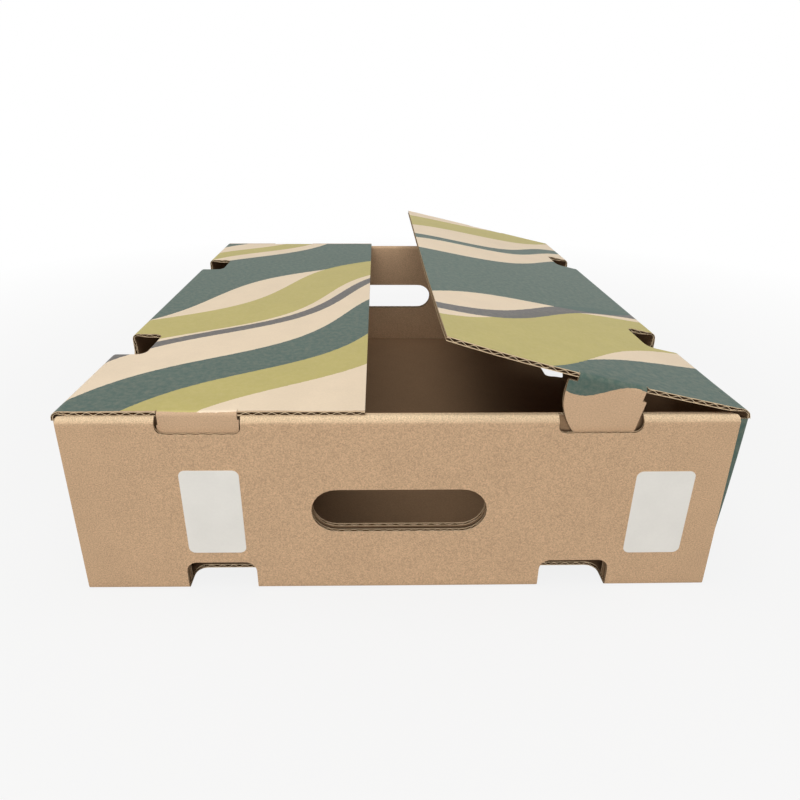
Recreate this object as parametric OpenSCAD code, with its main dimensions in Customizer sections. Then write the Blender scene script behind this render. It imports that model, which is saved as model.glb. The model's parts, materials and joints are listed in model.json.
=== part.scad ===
// Folded corrugated fruit box: a tray with double end walls and two top flaps.
// Each flap has a tongue at each end that slips into a slot in the top of an end wall.
// The front is the end at -Y, and the floor's underside lies at Z 0.

/* [Box] */
// Outside width, from side wall to side wall
box_w = 343; // [310:1:400]
// Outside length, from the front end to the back end
box_l = 413; // [340:1:500]
// Height of the end walls
end_h = 106; // [90:1:140]
// Gap between the flaps when both are closed
mouth_w = 35; // [10:1:60]

/* [Board] */
// Thickness of the corrugated board
board_t = 2.4; // [1.6:0.1:3.2]
// Play on each side of a layer that lies between two others
layer_play = 0.15; // [0.1:0.05:0.4]

/* [Hand holes] */
// Width of a hand hole, with its round ends
hole_w = 92.5; // [75:0.5:105]
// Height of a hand hole
hole_h = 26.2; // [20:0.2:32]
// Height of a hand hole's middle above the underside
hole_z = 51.2; // [40:0.2:62]

/* [Stacking notches in the feet] */
// Width of a notch in the foot of an end wall
end_notch_w = 38.2; // [25:0.2:45]
// Distance from the box's side to a notch in an end wall
end_notch_side = 55.5; // [45:0.5:62]
// Width of a notch in the foot of a side wall
side_notch_w = 37; // [25:0.5:45]
// Distance from the box's end to a notch in a side wall
side_notch_end = 81; // [60:0.5:95]
// Height of a foot notch above the underside
notch_h = 18; // [12:0.5:21]
// Reach of a foot notch into the floor
notch_reach = 17.5; // [12:0.5:24]
// Corner radius of the notches
notch_r = 6; // [2:0.5:8]

/* [Notches at the flap folds] */
// Reach of a fold notch into the flap
fold_notch_reach = 20.5; // [10:0.5:26]
// Depth of a fold notch in the side wall, below the flap's top
fold_notch_h = 16; // [10:0.5:22]
// Corner radius of the fold notches
fold_notch_r = 6; // [1:0.5:8]

/* [Slots in the end walls] */
// Distance from the box's side to a slot
slot_side = 49.9; // [40:0.1:56]
// Width of a slot
slot_w = 42.5; // [34:0.5:50]
// Depth of a slot below the end wall's top
slot_h = 9.2; // [6:0.2:12]
// Corner radius of a slot's lower corners
slot_r = 4; // [1:0.5:5]

/* [Tongues] */
// Length of a tongue, from the flap's top to its tip
tongue_drop = 38; // [28:0.5:44]
// Play between a tongue and the ends of its slot
tongue_play = 0.8; // [0.5:0.1:2]
// Width of the nick beside a tongue's neck
nick_w = 4.5; // [2:0.5:7]
// Depth of the nick below the flap's top
nick_drop = 4.6; // [3.8:0.1:7]
// Width of the barb on a tongue's other side
barb_w = 1.8; // [0.8:0.1:3]
// Depth of the barb's upper edge below the flap's top
barb_drop = 7.4; // [5:0.2:10]
// Corner radius of a tongue's tip below the barb
tongue_r = 8; // [4:0.5:10]
// Corner radius of a tongue's tip below the nick
ear_tip_r = 31; // [20:0.5:32]

/* [Flap angles] */
// Angle at which the left flap stands open
left_lift = 0; // [0:0.5:20]
// Angle at which the right flap stands open
right_lift = 13; // [0:0.5:20]

/* [Locks and corner flaps] */
// Width of the tabs that lock an inner end panel into the floor
tab_w = 44; // [20:0.5:48]
// Distance from a foot notch to the lock tab beside it
tab_side = 9.5; // [6:0.5:14]
// Spare room round a lock tab in its floor slot
tab_play = 0.9; // [0.4:0.1:1.5]
// Room between a corner flap's edge and the tongue
corner_room = 6; // [4:0.5:12]

/* [Labels] */
// Width of a paper label
label_w = 30.8; // [20:0.2:36]
// Height of a paper label
label_h = 51.6; // [35:0.2:56]
// Corner radius of a paper label
label_r = 3.5; // [1:0.5:6]
// Thickness of a paper label
label_t = 0.2; // [0.1:0.05:0.4]
// Height of the left label's lower edge above the underside
left_label_z = 24.8; // [23:0.2:28]
// Height of the right label's lower edge above the underside
right_label_z = 23; // [23:0.2:28]
// Distance from the left label to the box's left side
left_label_side = 58.4; // [20:0.2:70]
// Distance from the right label to the box's right side
right_label_side = 18; // [8:0.2:70]

/* [Hidden] */
$fn = 48;
// Length by which a cutter runs past the face it cuts
over = 1;
kraft = [0.76, 0.62, 0.47];
print_green = [0.36, 0.47, 0.42];
label_white = [0.88, 0.86, 0.83];

half_w = box_w / 2;
half_l = box_l / 2;
// A closed flap lies on the end walls
flap_top = end_h + board_t;
// An end wall is an outer panel, a middle layer of corner flaps and tongues, and an inner panel
middle_in = board_t + layer_play;
inner_in = 2 * middle_in;
end_wall_t = inner_in + board_t;
inner_w = box_w - 2 * middle_in;
// Side walls and flaps run between the outer end panels
fold_l = box_l - 2 * middle_in;
flap_reach = (box_w - mouth_w) / 2;
// The flap turns about the middle of its rounded fold
pivot_in = board_t * (1 - sqrt(0.5));
ear_r = slot_side + slot_w - tongue_play - pivot_in;
neck_in = slot_side + tongue_play;
tongue_w = ear_r + pivot_in - neck_in;
corner_reach = slot_side - board_t - corner_room;
tab_x = half_w - end_notch_side - end_notch_w - tab_side - tab_w / 2;

// Carries an outline in X and Z along Y, centred
module along_y(length) {
    rotate([90, 0, 0]) linear_extrude(length, center = true) children();
}

// Carries an outline in Y and Z along X, centred
module along_x(length) {
    rotate([90, 0, 90]) linear_extrude(length, center = true) children();
}

// What is cut away to round an outline's corner at the origin, in the first quarter
module corner_cut(r) {
    difference() {
        translate([-over, -over]) square(r + over);
        translate([r, r]) circle(r);
    }
}

// Rectangle on the X axis, w wide and h high, with its upper corners rounded
module round_top(w, h, r) {
    difference() {
        translate([-w / 2, 0]) square([w, h]);
        translate([-w / 2, h]) mirror([0, 1]) corner_cut(r);
        translate([w / 2, h]) rotate(180) corner_cut(r);
    }
}

// Rectangle below the X axis, w wide and h deep, with its lower corners rounded
module round_low(w, h, r) {
    mirror([0, 1]) round_top(w, h, r);
}

// Slot outline with half-round ends, centred
module stadium(w, h) {
    square([w - h, h], center = true);
    for (side = [-1, 1])
        translate([side * (w - h) / 2, 0]) circle(h / 2);
}

// Floor and side walls in section: rounded folds below, mitred flap folds above
module channel_section() {
    difference() {
        translate([-half_w, 0]) square([box_w, flap_top]);
        translate([-half_w + board_t, board_t]) square([box_w - 2 * board_t, flap_top]);
        for (side = [0, 1])
            mirror([side, 0]) {
                translate([-half_w, 0]) corner_cut(board_t);
                flap_mitre();
            }
    }
}

// What the rounded, mitred fold leaves off the top of the left side wall
module flap_mitre() {
    polygon([[-half_w - over, flap_top + over], [-half_w + board_t + over, flap_top + over],
             [-half_w + board_t + over, end_h - over]]);
    translate([-half_w, flap_top]) mirror([0, 1]) corner_cut(board_t);
}

// Outer panel of the front end wall in section, with its folds
module outer_panel_section() {
    difference() {
        union() {
            translate([-half_l, 0]) square([board_t, end_h]);
            translate([-half_l, 0]) square([end_wall_t, board_t]);
        }
        translate([-half_l, 0]) corner_cut(board_t);
        translate([-half_l, end_h]) mirror([0, 1]) corner_cut(board_t);
    }
}

// Top strip and inner panel of the front end wall in section
module rolled_panel_section() {
    difference() {
        union() {
            translate([-half_l, end_h - board_t]) square([end_wall_t, board_t]);
            translate([-half_l + inner_in, board_t / 2]) square([board_t, end_h - board_t / 2]);
        }
        translate([-half_l, end_h]) mirror([0, 1]) corner_cut(board_t);
        translate([-half_l + end_wall_t, end_h]) rotate(180) corner_cut(board_t);
    }
}

// Double front end wall with its hand hole and tongue slots
module end_wall() {
    difference() {
        union() {
            along_x(box_w) outer_panel_section();
            along_x(inner_w) rolled_panel_section();
        }
        translate([0, -half_l, hole_z]) along_y(2 * end_wall_t + over) stadium(hole_w, hole_h);
        for (side = [-1, 1])
            translate([side * (half_w - slot_side - slot_w / 2), -half_l, end_h + over])
                along_y(2 * inner_in) round_low(slot_w, slot_h + over, slot_r);
    }
}

// Foot notch at the origin: an opening in a wall across Y and in the floor behind it
module foot_notch(w, wall_t) {
    translate([0, 0, -over]) along_y(2 * wall_t + over) round_top(w, notch_h + over, notch_r);
    translate([0, -over, -over]) linear_extrude(board_t + 2 * over)
        round_top(w, notch_reach + over, notch_r);
}

// Foot notches of one end and one side
module end_foot_notches() {
    for (side = [-1, 1])
        translate([side * (half_w - end_notch_side - end_notch_w / 2), -half_l, 0])
            foot_notch(end_notch_w, end_wall_t);
}

module side_foot_notches() {
    for (end = [-1, 1])
        translate([-half_w, end * (half_l - side_notch_end - side_notch_w / 2), 0])
            rotate(-90) foot_notch(side_notch_w, board_t);
}

// Left side wall's openings at the flap fold
module wall_fold_notches() {
    for (end = [-1, 1])
        translate([-half_w, end * (half_l - side_notch_end - side_notch_w / 2), flap_top + over])
            along_x(2 * board_t + over) round_low(side_notch_w, fold_notch_h + over, fold_notch_r);
}

// Corner flap of the left side wall, folded in behind the front panel
module corner_flap() {
    difference() {
        translate([-half_w, -half_l + middle_in, board_t / 2])
            cube([board_t + corner_reach, board_t, end_h - 3 * board_t / 2 - layer_play]);
        translate([-half_w, -half_l + middle_in, 0]) linear_extrude(flap_top) corner_cut(board_t);
    }
}

// Floor slots for the lock tabs of the front inner panel
module lock_slots() {
    for (side = [-1, 1])
        translate([side * tab_x - tab_w / 2 - tab_play, -half_l + inner_in, -over])
            cube([tab_w + 2 * tab_play, board_t + tab_play, board_t + over]);
}

// Lock tabs of the front inner panel, flush with the underside
module lock_tabs() {
    for (side = [-1, 1])
        translate([side * tab_x - tab_w / 2, -half_l + inner_in, 0])
            cube([tab_w, board_t, 2 * board_t]);
}

// One flap with its two tongues, as the closed left flap
module flap_board() {
    difference() {
        along_y(fold_l) flap_section();
        for (end = [-1, 1])
            translate([-half_w - over, end * (half_l - side_notch_end - side_notch_w / 2), end_h - over])
                linear_extrude(board_t + 2 * over)
                    rotate(-90) round_top(side_notch_w, fold_notch_reach + over, fold_notch_r);
        for (end = [0, 1])
            mirror([0, end, 0]) tongue_fold_cut();
    }
    for (end = [0, 1])
        mirror([0, end, 0]) tongue();
}

// Closed left flap in section, with its half of the rounded fold
module flap_section() {
    difference() {
        translate([-half_w, end_h]) square([flap_reach, board_t]);
        polygon([[-half_w - over, flap_top + over], [-half_w - over, end_h - over],
                 [-half_w + board_t + over, end_h - over]]);
        translate([-half_w, flap_top]) mirror([0, 1]) corner_cut(board_t);
    }
}

// What rounds the flap's edge where the front tongue folds down
module tongue_fold_cut() {
    bend_w = tongue_w - barb_w - nick_w;
    translate([-half_w + neck_in + barb_w + bend_w / 2, -half_l + middle_in, flap_top])
        along_x(bend_w) mirror([0, 1]) corner_cut(board_t);
}

// Tongue below the X axis, from the middle of the flap's board to its tip, with its barb and nick
module tongue_outline() {
    difference() {
        translate([0, -tongue_drop]) square([tongue_w, tongue_drop - board_t / 2]);
        translate([0, -tongue_drop]) corner_cut(tongue_r);
        translate([tongue_w, -tongue_drop]) mirror([1, 0]) corner_cut(ear_tip_r);
        translate([-over, -barb_drop]) square([barb_w + over, barb_drop]);
        translate([tongue_w - nick_w, -nick_drop]) square([nick_w + over, nick_drop]);
    }
}

// Front tongue of the closed left flap, within an arc about the fold that swings clear of the slot
module tongue() {
    translate([0, -half_l + middle_in + board_t / 2, 0]) along_y(board_t)
        intersection() {
            translate([-half_w + neck_in, flap_top]) tongue_outline();
            translate([-half_w + pivot_in, flap_top - pivot_in]) circle(ear_r, $fn = 96);
        }
}

// Turns the left flap open about the middle of its fold
module lifted(angle) {
    translate([-half_w + pivot_in, 0, flap_top - pivot_in]) rotate([0, -angle, 0])
        translate([half_w - pivot_in, 0, pivot_in - flap_top]) children();
}

// Paper label whose lower left corner is at x and z on the front panel
module label(x, z) {
    translate([x + label_w / 2, -half_l - label_t / 2, z]) along_y(label_t)
        intersection() {
            round_top(label_w, label_h, label_r);
            translate([0, label_h]) round_low(label_w, label_h, label_r);
        }
}

// Floor, side walls, corner flaps and double end walls, folded from one sheet
module tray() {
    color(kraft) {
        difference() {
            union() {
                difference() {
                    along_y(fold_l) channel_section();
                    for (end = [0, 1])
                        mirror([0, end, 0]) lock_slots();
                    for (side = [0, 1])
                        mirror([side, 0, 0]) {
                            wall_fold_notches();
                            for (end = [0, 1])
                                mirror([0, end, 0]) side_end_rounding();
                        }
                }
                for (end = [0, 1])
                    mirror([0, end, 0]) {
                        end_wall();
                        lock_tabs();
                        for (side = [0, 1])
                            mirror([side, 0, 0]) corner_flap();
                    }
            }
            for (end = [0, 1])
                mirror([0, end, 0]) end_foot_notches();
            for (side = [0, 1])
                mirror([side, 0, 0]) side_foot_notches();
        }
    }
}

// What rounds the upright fold between the left side wall and its front corner flap
module side_end_rounding() {
    translate([-half_w, -half_l + middle_in, board_t]) linear_extrude(flap_top) corner_cut(board_t);
}

module left_flap() {
    color(print_green) lifted(left_lift) flap_board();
}

module right_flap() {
    color(print_green) mirror([1, 0, 0]) lifted(right_lift) flap_board();
}

module left_label() {
    color(label_white) label(-half_w + left_label_side, left_label_z);
}

module right_label() {
    color(label_white) label(half_w - right_label_side - label_w, right_label_z);
}

tray();
left_flap();
right_flap();
left_label();
right_label();
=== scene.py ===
import json
from typing import Callable, NamedTuple

import bpy
import numpy as np
from bpy.props import FloatProperty, FloatVectorProperty, PointerProperty
from mathutils import Matrix, Vector


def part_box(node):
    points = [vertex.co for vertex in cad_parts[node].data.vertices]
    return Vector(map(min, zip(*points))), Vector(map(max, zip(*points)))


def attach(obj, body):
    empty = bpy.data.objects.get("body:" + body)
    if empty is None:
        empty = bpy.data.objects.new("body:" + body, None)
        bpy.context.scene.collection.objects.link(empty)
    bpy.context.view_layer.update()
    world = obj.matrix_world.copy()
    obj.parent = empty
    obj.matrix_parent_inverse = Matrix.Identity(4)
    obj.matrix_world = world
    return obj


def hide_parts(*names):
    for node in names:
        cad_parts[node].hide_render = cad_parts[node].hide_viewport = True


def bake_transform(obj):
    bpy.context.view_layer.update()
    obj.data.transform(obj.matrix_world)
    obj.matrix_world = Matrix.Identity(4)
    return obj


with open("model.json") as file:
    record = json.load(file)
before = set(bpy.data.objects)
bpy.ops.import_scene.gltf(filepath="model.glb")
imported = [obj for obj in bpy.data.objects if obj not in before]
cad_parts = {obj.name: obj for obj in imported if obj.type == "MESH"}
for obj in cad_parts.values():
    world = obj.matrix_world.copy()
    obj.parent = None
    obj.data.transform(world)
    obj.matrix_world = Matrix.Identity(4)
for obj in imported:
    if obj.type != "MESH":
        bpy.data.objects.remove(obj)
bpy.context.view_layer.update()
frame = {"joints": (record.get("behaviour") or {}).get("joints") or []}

bl_info = {
    "name": "Fruit Box",
    "version": (1, 0, 0),
    "blender": (4, 5, 0),
    "location": "3D View > Sidebar > Fruit Box",
    "description": "Folds a corrugated fruit box with two printed top flaps",
    "category": "Add Mesh",
}

MM = 0.001
TINY = 1e-7
DECIMALS = 7
QUARTER = np.pi / 2

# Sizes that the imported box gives, in metres
_, TRAY_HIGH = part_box("tray")
FLAP_LOW, FLAP_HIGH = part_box("left_flap")
HINGE = next(joint["pos_m"] for joint in frame["joints"] if joint["name"] == "left_flap_fold")
HALF_W = TRAY_HIGH.x
HALF_L = TRAY_HIGH.y
FLAP_TOP = FLAP_HIGH.z
FLAP_REACH = FLAP_HIGH.x + HALF_W
FOLD_HALF = FLAP_HIGH.y
TONGUE_DROP = FLAP_TOP - FLAP_LOW.z
PIVOT = complex(HINGE[0], HINGE[2])
PIVOT_IN = PIVOT.real + HALF_W
# The hinge is the middle of the fold's outer arc, whose radius is the board's thickness
BOARD_T = PIVOT_IN / (1 - 0.5 ** 0.5)
END_H = FLAP_TOP - BOARD_T
MIDDLE_IN = HALF_L - FOLD_HALF
INNER_IN = 2 * MIDDLE_IN
END_WALL_T = INNER_IN + BOARD_T
LAYER_PLAY = MIDDLE_IN - BOARD_T
ARC = QUARTER * BOARD_T
# A crease reaches as far from its fold as the side wall stands above its corner flaps
CREASE_LEG = FLAP_TOP - (END_H - BOARD_T - LAYER_PLAY)

# Grid lines across and along each sheet, besides those at its folds and cuts
TRAY_GRID = (13, 19)
FLAP_GRID = (13, 14)
LABEL_GRID = (9, 9)
CREASE_ROWS = 13
FLUTE_STEPS = 6
# Columns at each millimetre beside a crease, where the crushed board thickens
NEAR_CREASE = np.arange(1, 6) * MM
SHARP_EDGE = np.radians(35)

# Shares of a side wall's lean: the same all along, growing to the front, and flaring at the front corner
LEAN_EVEN, LEAN_SLOPE, LEAN_FLARE = 0.25, 0.2, 0.55
LEAN_BULGE = 0.75
# Share of the half width, at the side of an end wall, that takes up its taper
TAPER_PART = 0.25

# Sizes of the patterns in paper and print, in millimetres
CLOUD_MM = 20.0
KRAFT_FIBRE_MM = 0.7
FIBRE_BUMP_MM = 0.03
FLUTE_BUMP_MM = 0.012
RAG_MM, RAG_REACH_MM = 2.2, 0.9
WEAR_MM = 3.5

SENSOR_MM = 36.0
NEAREST_SEEN = 10 * MM
WHITE = (1.0, 1.0, 1.0, 1.0)


def length(name, millimetres, description):
    """A length, written in millimetres and kept in metres."""
    return FloatProperty(name=name, description=description, default=millimetres * MM, min=0.0,
                         precision=5, subtype="DISTANCE", unit="LENGTH")


def lengths(name, metres, description):
    """A place or a size of two or three lengths, in metres."""
    return FloatVectorProperty(name=name, description=description, size=len(metres), default=metres,
                               subtype="XYZ", unit="LENGTH")


def share(name, part, description, most=1.0):
    """A part of a whole."""
    return FloatProperty(name=name, description=description, default=part, min=0.0, max=most,
                         subtype="FACTOR")


def rotation(name, degrees, description):
    """An angle, written in degrees and kept in radians."""
    return FloatProperty(name=name, description=description, default=np.radians(degrees), subtype="ANGLE")


def linear(code):
    """Linear red, green and blue of an sRGB hex colour."""
    srgb = np.array([int(code[i:i + 2], 16) for i in (1, 3, 5)]) / 255
    return np.where(srgb <= 0.04045, srgb / 12.92, ((srgb + 0.055) / 1.055) ** 2.4).tolist()


def colour(name, code, description):
    """A colour, written as sRGB hex and kept linear."""
    return FloatVectorProperty(name=name, description=description, subtype="COLOR", size=3,
                               min=0.0, max=1.0, default=linear(code))


class BoardSettings(bpy.types.PropertyGroup):
    """Layers of the corrugated board, its folds and how the folded box has settled."""
    liner: length("Liner", 0.38, "Thickness of each flat liner")
    medium: length("Fluted paper", 0.3, "Thickness of the fluted paper between the liners")
    flute: length("Flute pitch", 6.45, "Distance from one flute to the next")
    crush: share("Crush", 0.55, "Share of its thickness that the board loses at a fold", 0.8)
    crush_reach: length("Crush reach", 6.0, "Distance from a fold's middle over which the board is crushed")
    crease_r: length("Crease radius", 3.6, "Outside radius of the fold between a side wall and its flap")
    bevel: length("Top bevel", 3.2, "Height of the scored bevel at the top of an end wall's outer panel")
    bevel_r: length("Bevel radius", 1.4, "Outside radius of the two folds at a scored bevel")
    die_cut: length("Die cut", 0.3, "Width of a cut line beside a folded tongue")
    bow: length("Bow", 0.4, "How far the end walls stand out in the middle")
    taper: length("Taper", 1.5, "How far each side of an end wall draws in at its top")
    lean_left: length("Left lean", 1.0, "How far the left side wall leans out at its front upper corner")
    lean_right: length("Right lean", 4.8, "How far the right side wall leans out at its front upper corner")
    lean_share: share("Flap lean", 0.45, "Share of a wall's lean that its flap follows")
    lean_fade: length("Lean fade", 120.0, "Reach of the lean into a flap")
    snug: share("Snug", 0.8, "Share of the nicks beside the left flap's tongues that is shut")
    curl: length("Curl", 4.9, "How far the right flap curls up at the front end of its mouth edge")


class OpeningSettings(bpy.types.PropertyGroup):
    """Hand holes, notches, slots and tongues of the die-cut sheet."""
    hole_w: length("Hand hole width", 92.5, "Width of a hand hole, with its round ends")
    hole_h: length("Hand hole height", 26.2, "Height of a hand hole")
    hole_z: length("Hand hole middle", 51.2, "Height of a hand hole's middle above the underside")
    end_notch_w: length("End notch width", 38.2, "Width of a notch in the foot of an end wall")
    end_notch_side: length("End notch place", 55.5, "Distance from the box's side to an end wall's notch")
    side_notch_w: length("Side notch width", 37.0, "Width of the notches in a side wall and at its fold")
    side_notch_end: length("Side notch place", 81.0, "Distance from the box's end to a side wall's notch")
    notch_h: length("Notch height", 18.0, "Height of a foot notch above the underside")
    notch_reach: length("Notch reach", 17.5, "Reach of a foot notch into the floor")
    notch_r: length("Notch radius", 6.0, "Corner radius of the foot notches")
    fold_notch_reach: length("Fold notch reach", 20.5, "Reach of a fold notch into the flap")
    fold_notch_h: length("Fold notch depth", 16.0, "Depth of a fold notch in the side wall")
    fold_notch_r: length("Fold notch radius", 6.0, "Corner radius of the fold notches")
    slot_side: length("Slot place", 49.9, "Distance from the box's side to a tongue's slot")
    slot_w: length("Slot width", 42.5, "Width of a tongue's slot")
    slot_h: length("Slot depth", 9.2, "Depth of a slot below the end wall's top")
    slot_r: length("Slot radius", 4.0, "Radius of a slot's lower corners")
    tongue_play: length("Tongue play", 0.8, "Play between a tongue and the ends of its slot")
    tongue_r: length("Tongue radius", 8.0, "Corner radius of a tongue's tip below its barb")
    ear_tip_r: length("Ear radius", 31.0, "Corner radius of a tongue's tip below its nick")
    barb_w: length("Barb width", 1.8, "Width of the barb on a tongue's side towards the fold")
    barb_drop: length("Barb depth", 7.4, "Depth of the barb's upper edge below the flap's top")
    nick_w: length("Nick width", 4.5, "Width of the nick beside a tongue's neck")
    nick_drop: length("Nick depth", 4.6, "Depth of the nick below the flap's top")
    tab_w: length("Lock tab width", 44.0, "Width of a tab that locks an inner end panel into the floor")
    tab_side: length("Lock tab place", 9.5, "Distance from a foot notch to the lock tab beside it")
    tab_play: length("Lock tab play", 0.9, "Spare room round a lock tab in its floor slot")
    corner_room: length("Corner flap room", 6.0, "Room between a corner flap's edge and the tongue")
    label_r: length("Label radius", 3.5, "Corner radius of a paper label")


class ColourSettings(bpy.types.PropertyGroup):
    """Papers and inks of the box."""
    kraft: colour("Kraft", "#C6A583", "Bare outer liner")
    inside: colour("Inside kraft", "#9B7D5F", "Inner liner")
    # Fluted paper, darkened partly as painted shade in the hollows of the flutes at the cut edges
    medium: colour("Fluted paper", "#755538", "Fluted paper between the liners")
    cut_edge: colour("Cut edge", "#DCC3A0", "Cut edges of the papers")
    # Paler kraft at the top of the end walls: partly rubbing, partly a painted highlight and sheen from the
    # light above
    rubbed_and_sheen: colour("Rubbed kraft", "#E3CAA6", "Outer liner where it is rubbed at the top of the end walls")
    rub_and_sheen: share("Rub", 0.8, "How much of the rubbed colour shows there")
    # Cream ground of the print: the kraft's own colour with a painted sheen and top light added
    cream_and_sheen: colour("Cream", "#EFDABD", "Bare ground of the printed flaps")
    green: colour("Green ink", "#3F564D", "Darkest of the printed colours")
    olive: colour("Olive ink", "#BCAF68", "Light yellowish green of the print")
    grey: colour("Grey ink", "#5C5A58", "Dark grey of the print")
    label: colour("Label", "#E8E5DE", "Label paper")
    floor: colour("Floor", "#B2B0AD", "Studio floor")


class StageSettings(bpy.types.PropertyGroup):
    """Camera, lamps and floor."""
    camera_place: lengths("Camera place", (-0.01107, -0.48921, 0.24819), "Where the camera stands")
    camera_yaw: rotation("Yaw", 1.06, "Turn of the camera to the right")
    camera_pitch: rotation("Pitch", 24.28, "Tilt of the camera downwards")
    camera_roll: rotation("Roll", -0.29, "Roll of the camera to the right")
    lens: FloatProperty(name="Lens", description="Focal length on a 36 mm sensor, in millimetres",
                        default=28.895, min=1.0)
    shift: FloatVectorProperty(name="Shift", description="Shift of the lens, as shares of the picture",
                               size=2, default=(0.01404, -0.0119))
    lamp_aim: lengths("Lamp aim", (0.0, 0.0, 0.05), "Point that both lamps face")
    key_place: lengths("Key place", (-0.1, -0.35, 1.6), "Where the large lamp hangs above the front")
    key_size: lengths("Key size", (1.6, 1.6), "Width and height of the large lamp")
    key_power: FloatProperty(name="Key power", description="Power of the large lamp above the front",
                             default=23.0, min=0.0, subtype="POWER", unit="POWER")
    fill_place: lengths("Fill place", (-0.1, -2.1, 0.5), "Where the lamp in front of the box stands")
    fill_size: lengths("Fill size", (1.4, 0.8), "Width and height of the lamp in front of the box")
    fill_power: FloatProperty(name="Fill power", description="Power of the lamp in front of the box",
                              default=22.5, min=0.0, subtype="POWER", unit="POWER")
    ambient: FloatProperty(name="Ambient light", description="Strength of the light from all round",
                           default=0.04, min=0.0)
    floor_half: length("Floor", 4000.0, "Half the width of the studio floor")
    floor_gap: length("Floor gap", 0.2, "Gap between the underside of the box and the studio floor")
    floor_glow: share("Floor white", 0.85, "How far the floor by the box is lifted to white for the camera")
    glow_reach: FloatProperty(name="White reach", default=4.0, min=1.0,
                              description="Distance at which the floor is all white, in half box lengths")


def bent_line(run, folds):
    """Points and left-hand normals, as complex numbers, at lengths along a line that is folded to the left.

    The line starts at the origin along the real axis. Each fold (start, radius, angle) is a circular arc
    that begins at that length, and the line is straight between the folds: the arcs' chords are summed from
    knot to knot.
    """
    knots = np.array([0.0] + [k for start, radius, angle in folds for k in (start, start + radius * angle)])
    curve = np.array([0.0] + [c for _, radius, _ in folds for c in (1 / radius, 0.0)])

    def chord(distance, bend):
        """Way covered over a distance at a steady bend, seen along the starting direction."""
        safe = np.where(bend == 0, 1.0, bend)
        return np.where(bend == 0, distance, (np.exp(1j * safe * distance) - 1) / (1j * safe))

    heading = np.concatenate([[0.0], np.cumsum(curve[:-1] * np.diff(knots))])
    knot_points = np.cumsum(np.exp(1j * heading[:-1]) * chord(np.diff(knots), curve[:-1]))
    knot_points = np.concatenate([[0.0], knot_points])
    piece = np.clip(np.searchsorted(knots, run, side="right") - 1, 0, len(knots) - 1)
    rest = run - knots[piece]
    points = knot_points[piece] + np.exp(1j * heading[piece]) * chord(rest, curve[piece])
    return points, 1j * np.exp(1j * (heading[piece] + curve[piece] * rest))


def crushed(run, folds, board):
    """Share of the board's thickness that is left: 1 less a bell curve about the nearest fold's middle."""
    away = np.min([np.abs(run - start - radius * angle / 2) for start, radius, angle in folds], axis=0)
    return 1 - board.crush * np.exp(-(away / board.crush_reach) ** 2)


def folded(run, depth, board, folds, creases=None):
    """Points at a depth below a folded line, as complex numbers, in board that is crushed at its creases.

    Where no creases are given, they are the folds.
    """
    points, normals = bent_line(run, folds)
    return points + depth * crushed(run, creases or folds, board) * normals


def fold_steps(folds, count=6):
    """Lengths along a folded line that divide each arc evenly."""
    arcs = [np.linspace(start, start + radius * angle, count) for start, radius, angle in folds]
    return np.concatenate(arcs)


class Cut(NamedTuple):
    """What is taken out of a sheet between two edge lines, over a run of columns.

    A curved cut gets columns of its own.
    """
    start: float
    stop: float
    low: Callable
    high: Callable
    curved: bool = False


class Sheet(NamedTuple):
    """A sheet before folding: its grid lines in both directions and what is cut out of it."""
    columns: np.ndarray
    rows: np.ndarray
    cuts: list


def level(height):
    """A straight edge line, or a face, at one height."""
    return lambda u: np.full_like(u, height)


def corner(distance, radius):
    """How far a quarter circle stands in from its tangent, at a distance from its end."""
    short = np.clip(radius - distance, 0, radius)
    return radius - np.sqrt(radius ** 2 - short ** 2)


def rounding(u, start, stop, start_r, stop_r):
    """How far an edge line with a quarter circle at each end stands in."""
    return corner(u - start, start_r) + corner(stop - u, stop_r)


def window(start, stop, low, high, start_low=0.0, start_high=0.0, stop_low=0.0, stop_high=0.0):
    """A rectangular cut whose four corners are quarter circles of the given radii."""
    return Cut(start, stop,
               lambda u: low + rounding(u, start, stop, start_low, stop_low),
               lambda u: high - rounding(u, start, stop, start_high, stop_high),
               max(start_low, start_high, stop_low, stop_high) > 0)


def with_mirror_rows(cuts):
    """The cuts and their mirror images across the middle row."""
    mirrored = [cut._replace(low=lambda u, c=cut: -c.high(u), high=lambda u, c=cut: -c.low(u))
                for cut in cuts]
    return cuts + mirrored


def with_mirror_columns(cuts):
    """The cuts and their mirror images across the middle column."""
    mirrored = [cut._replace(start=-cut.stop, stop=-cut.start, low=lambda u, c=cut: c.low(-u),
                             high=lambda u, c=cut: c.high(-u)) for cut in cuts]
    return cuts + mirrored


def curve_columns(cuts, count=17):
    """Columns over each curved cut, set close together towards its ends as a turning circle's shadow is."""
    shadow = np.cos(np.linspace(0, np.pi, count))
    runs = [(cut.start + cut.stop) / 2 - (cut.stop - cut.start) / 2 * shadow for cut in cuts if cut.curved]
    return np.concatenate(runs)


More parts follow.
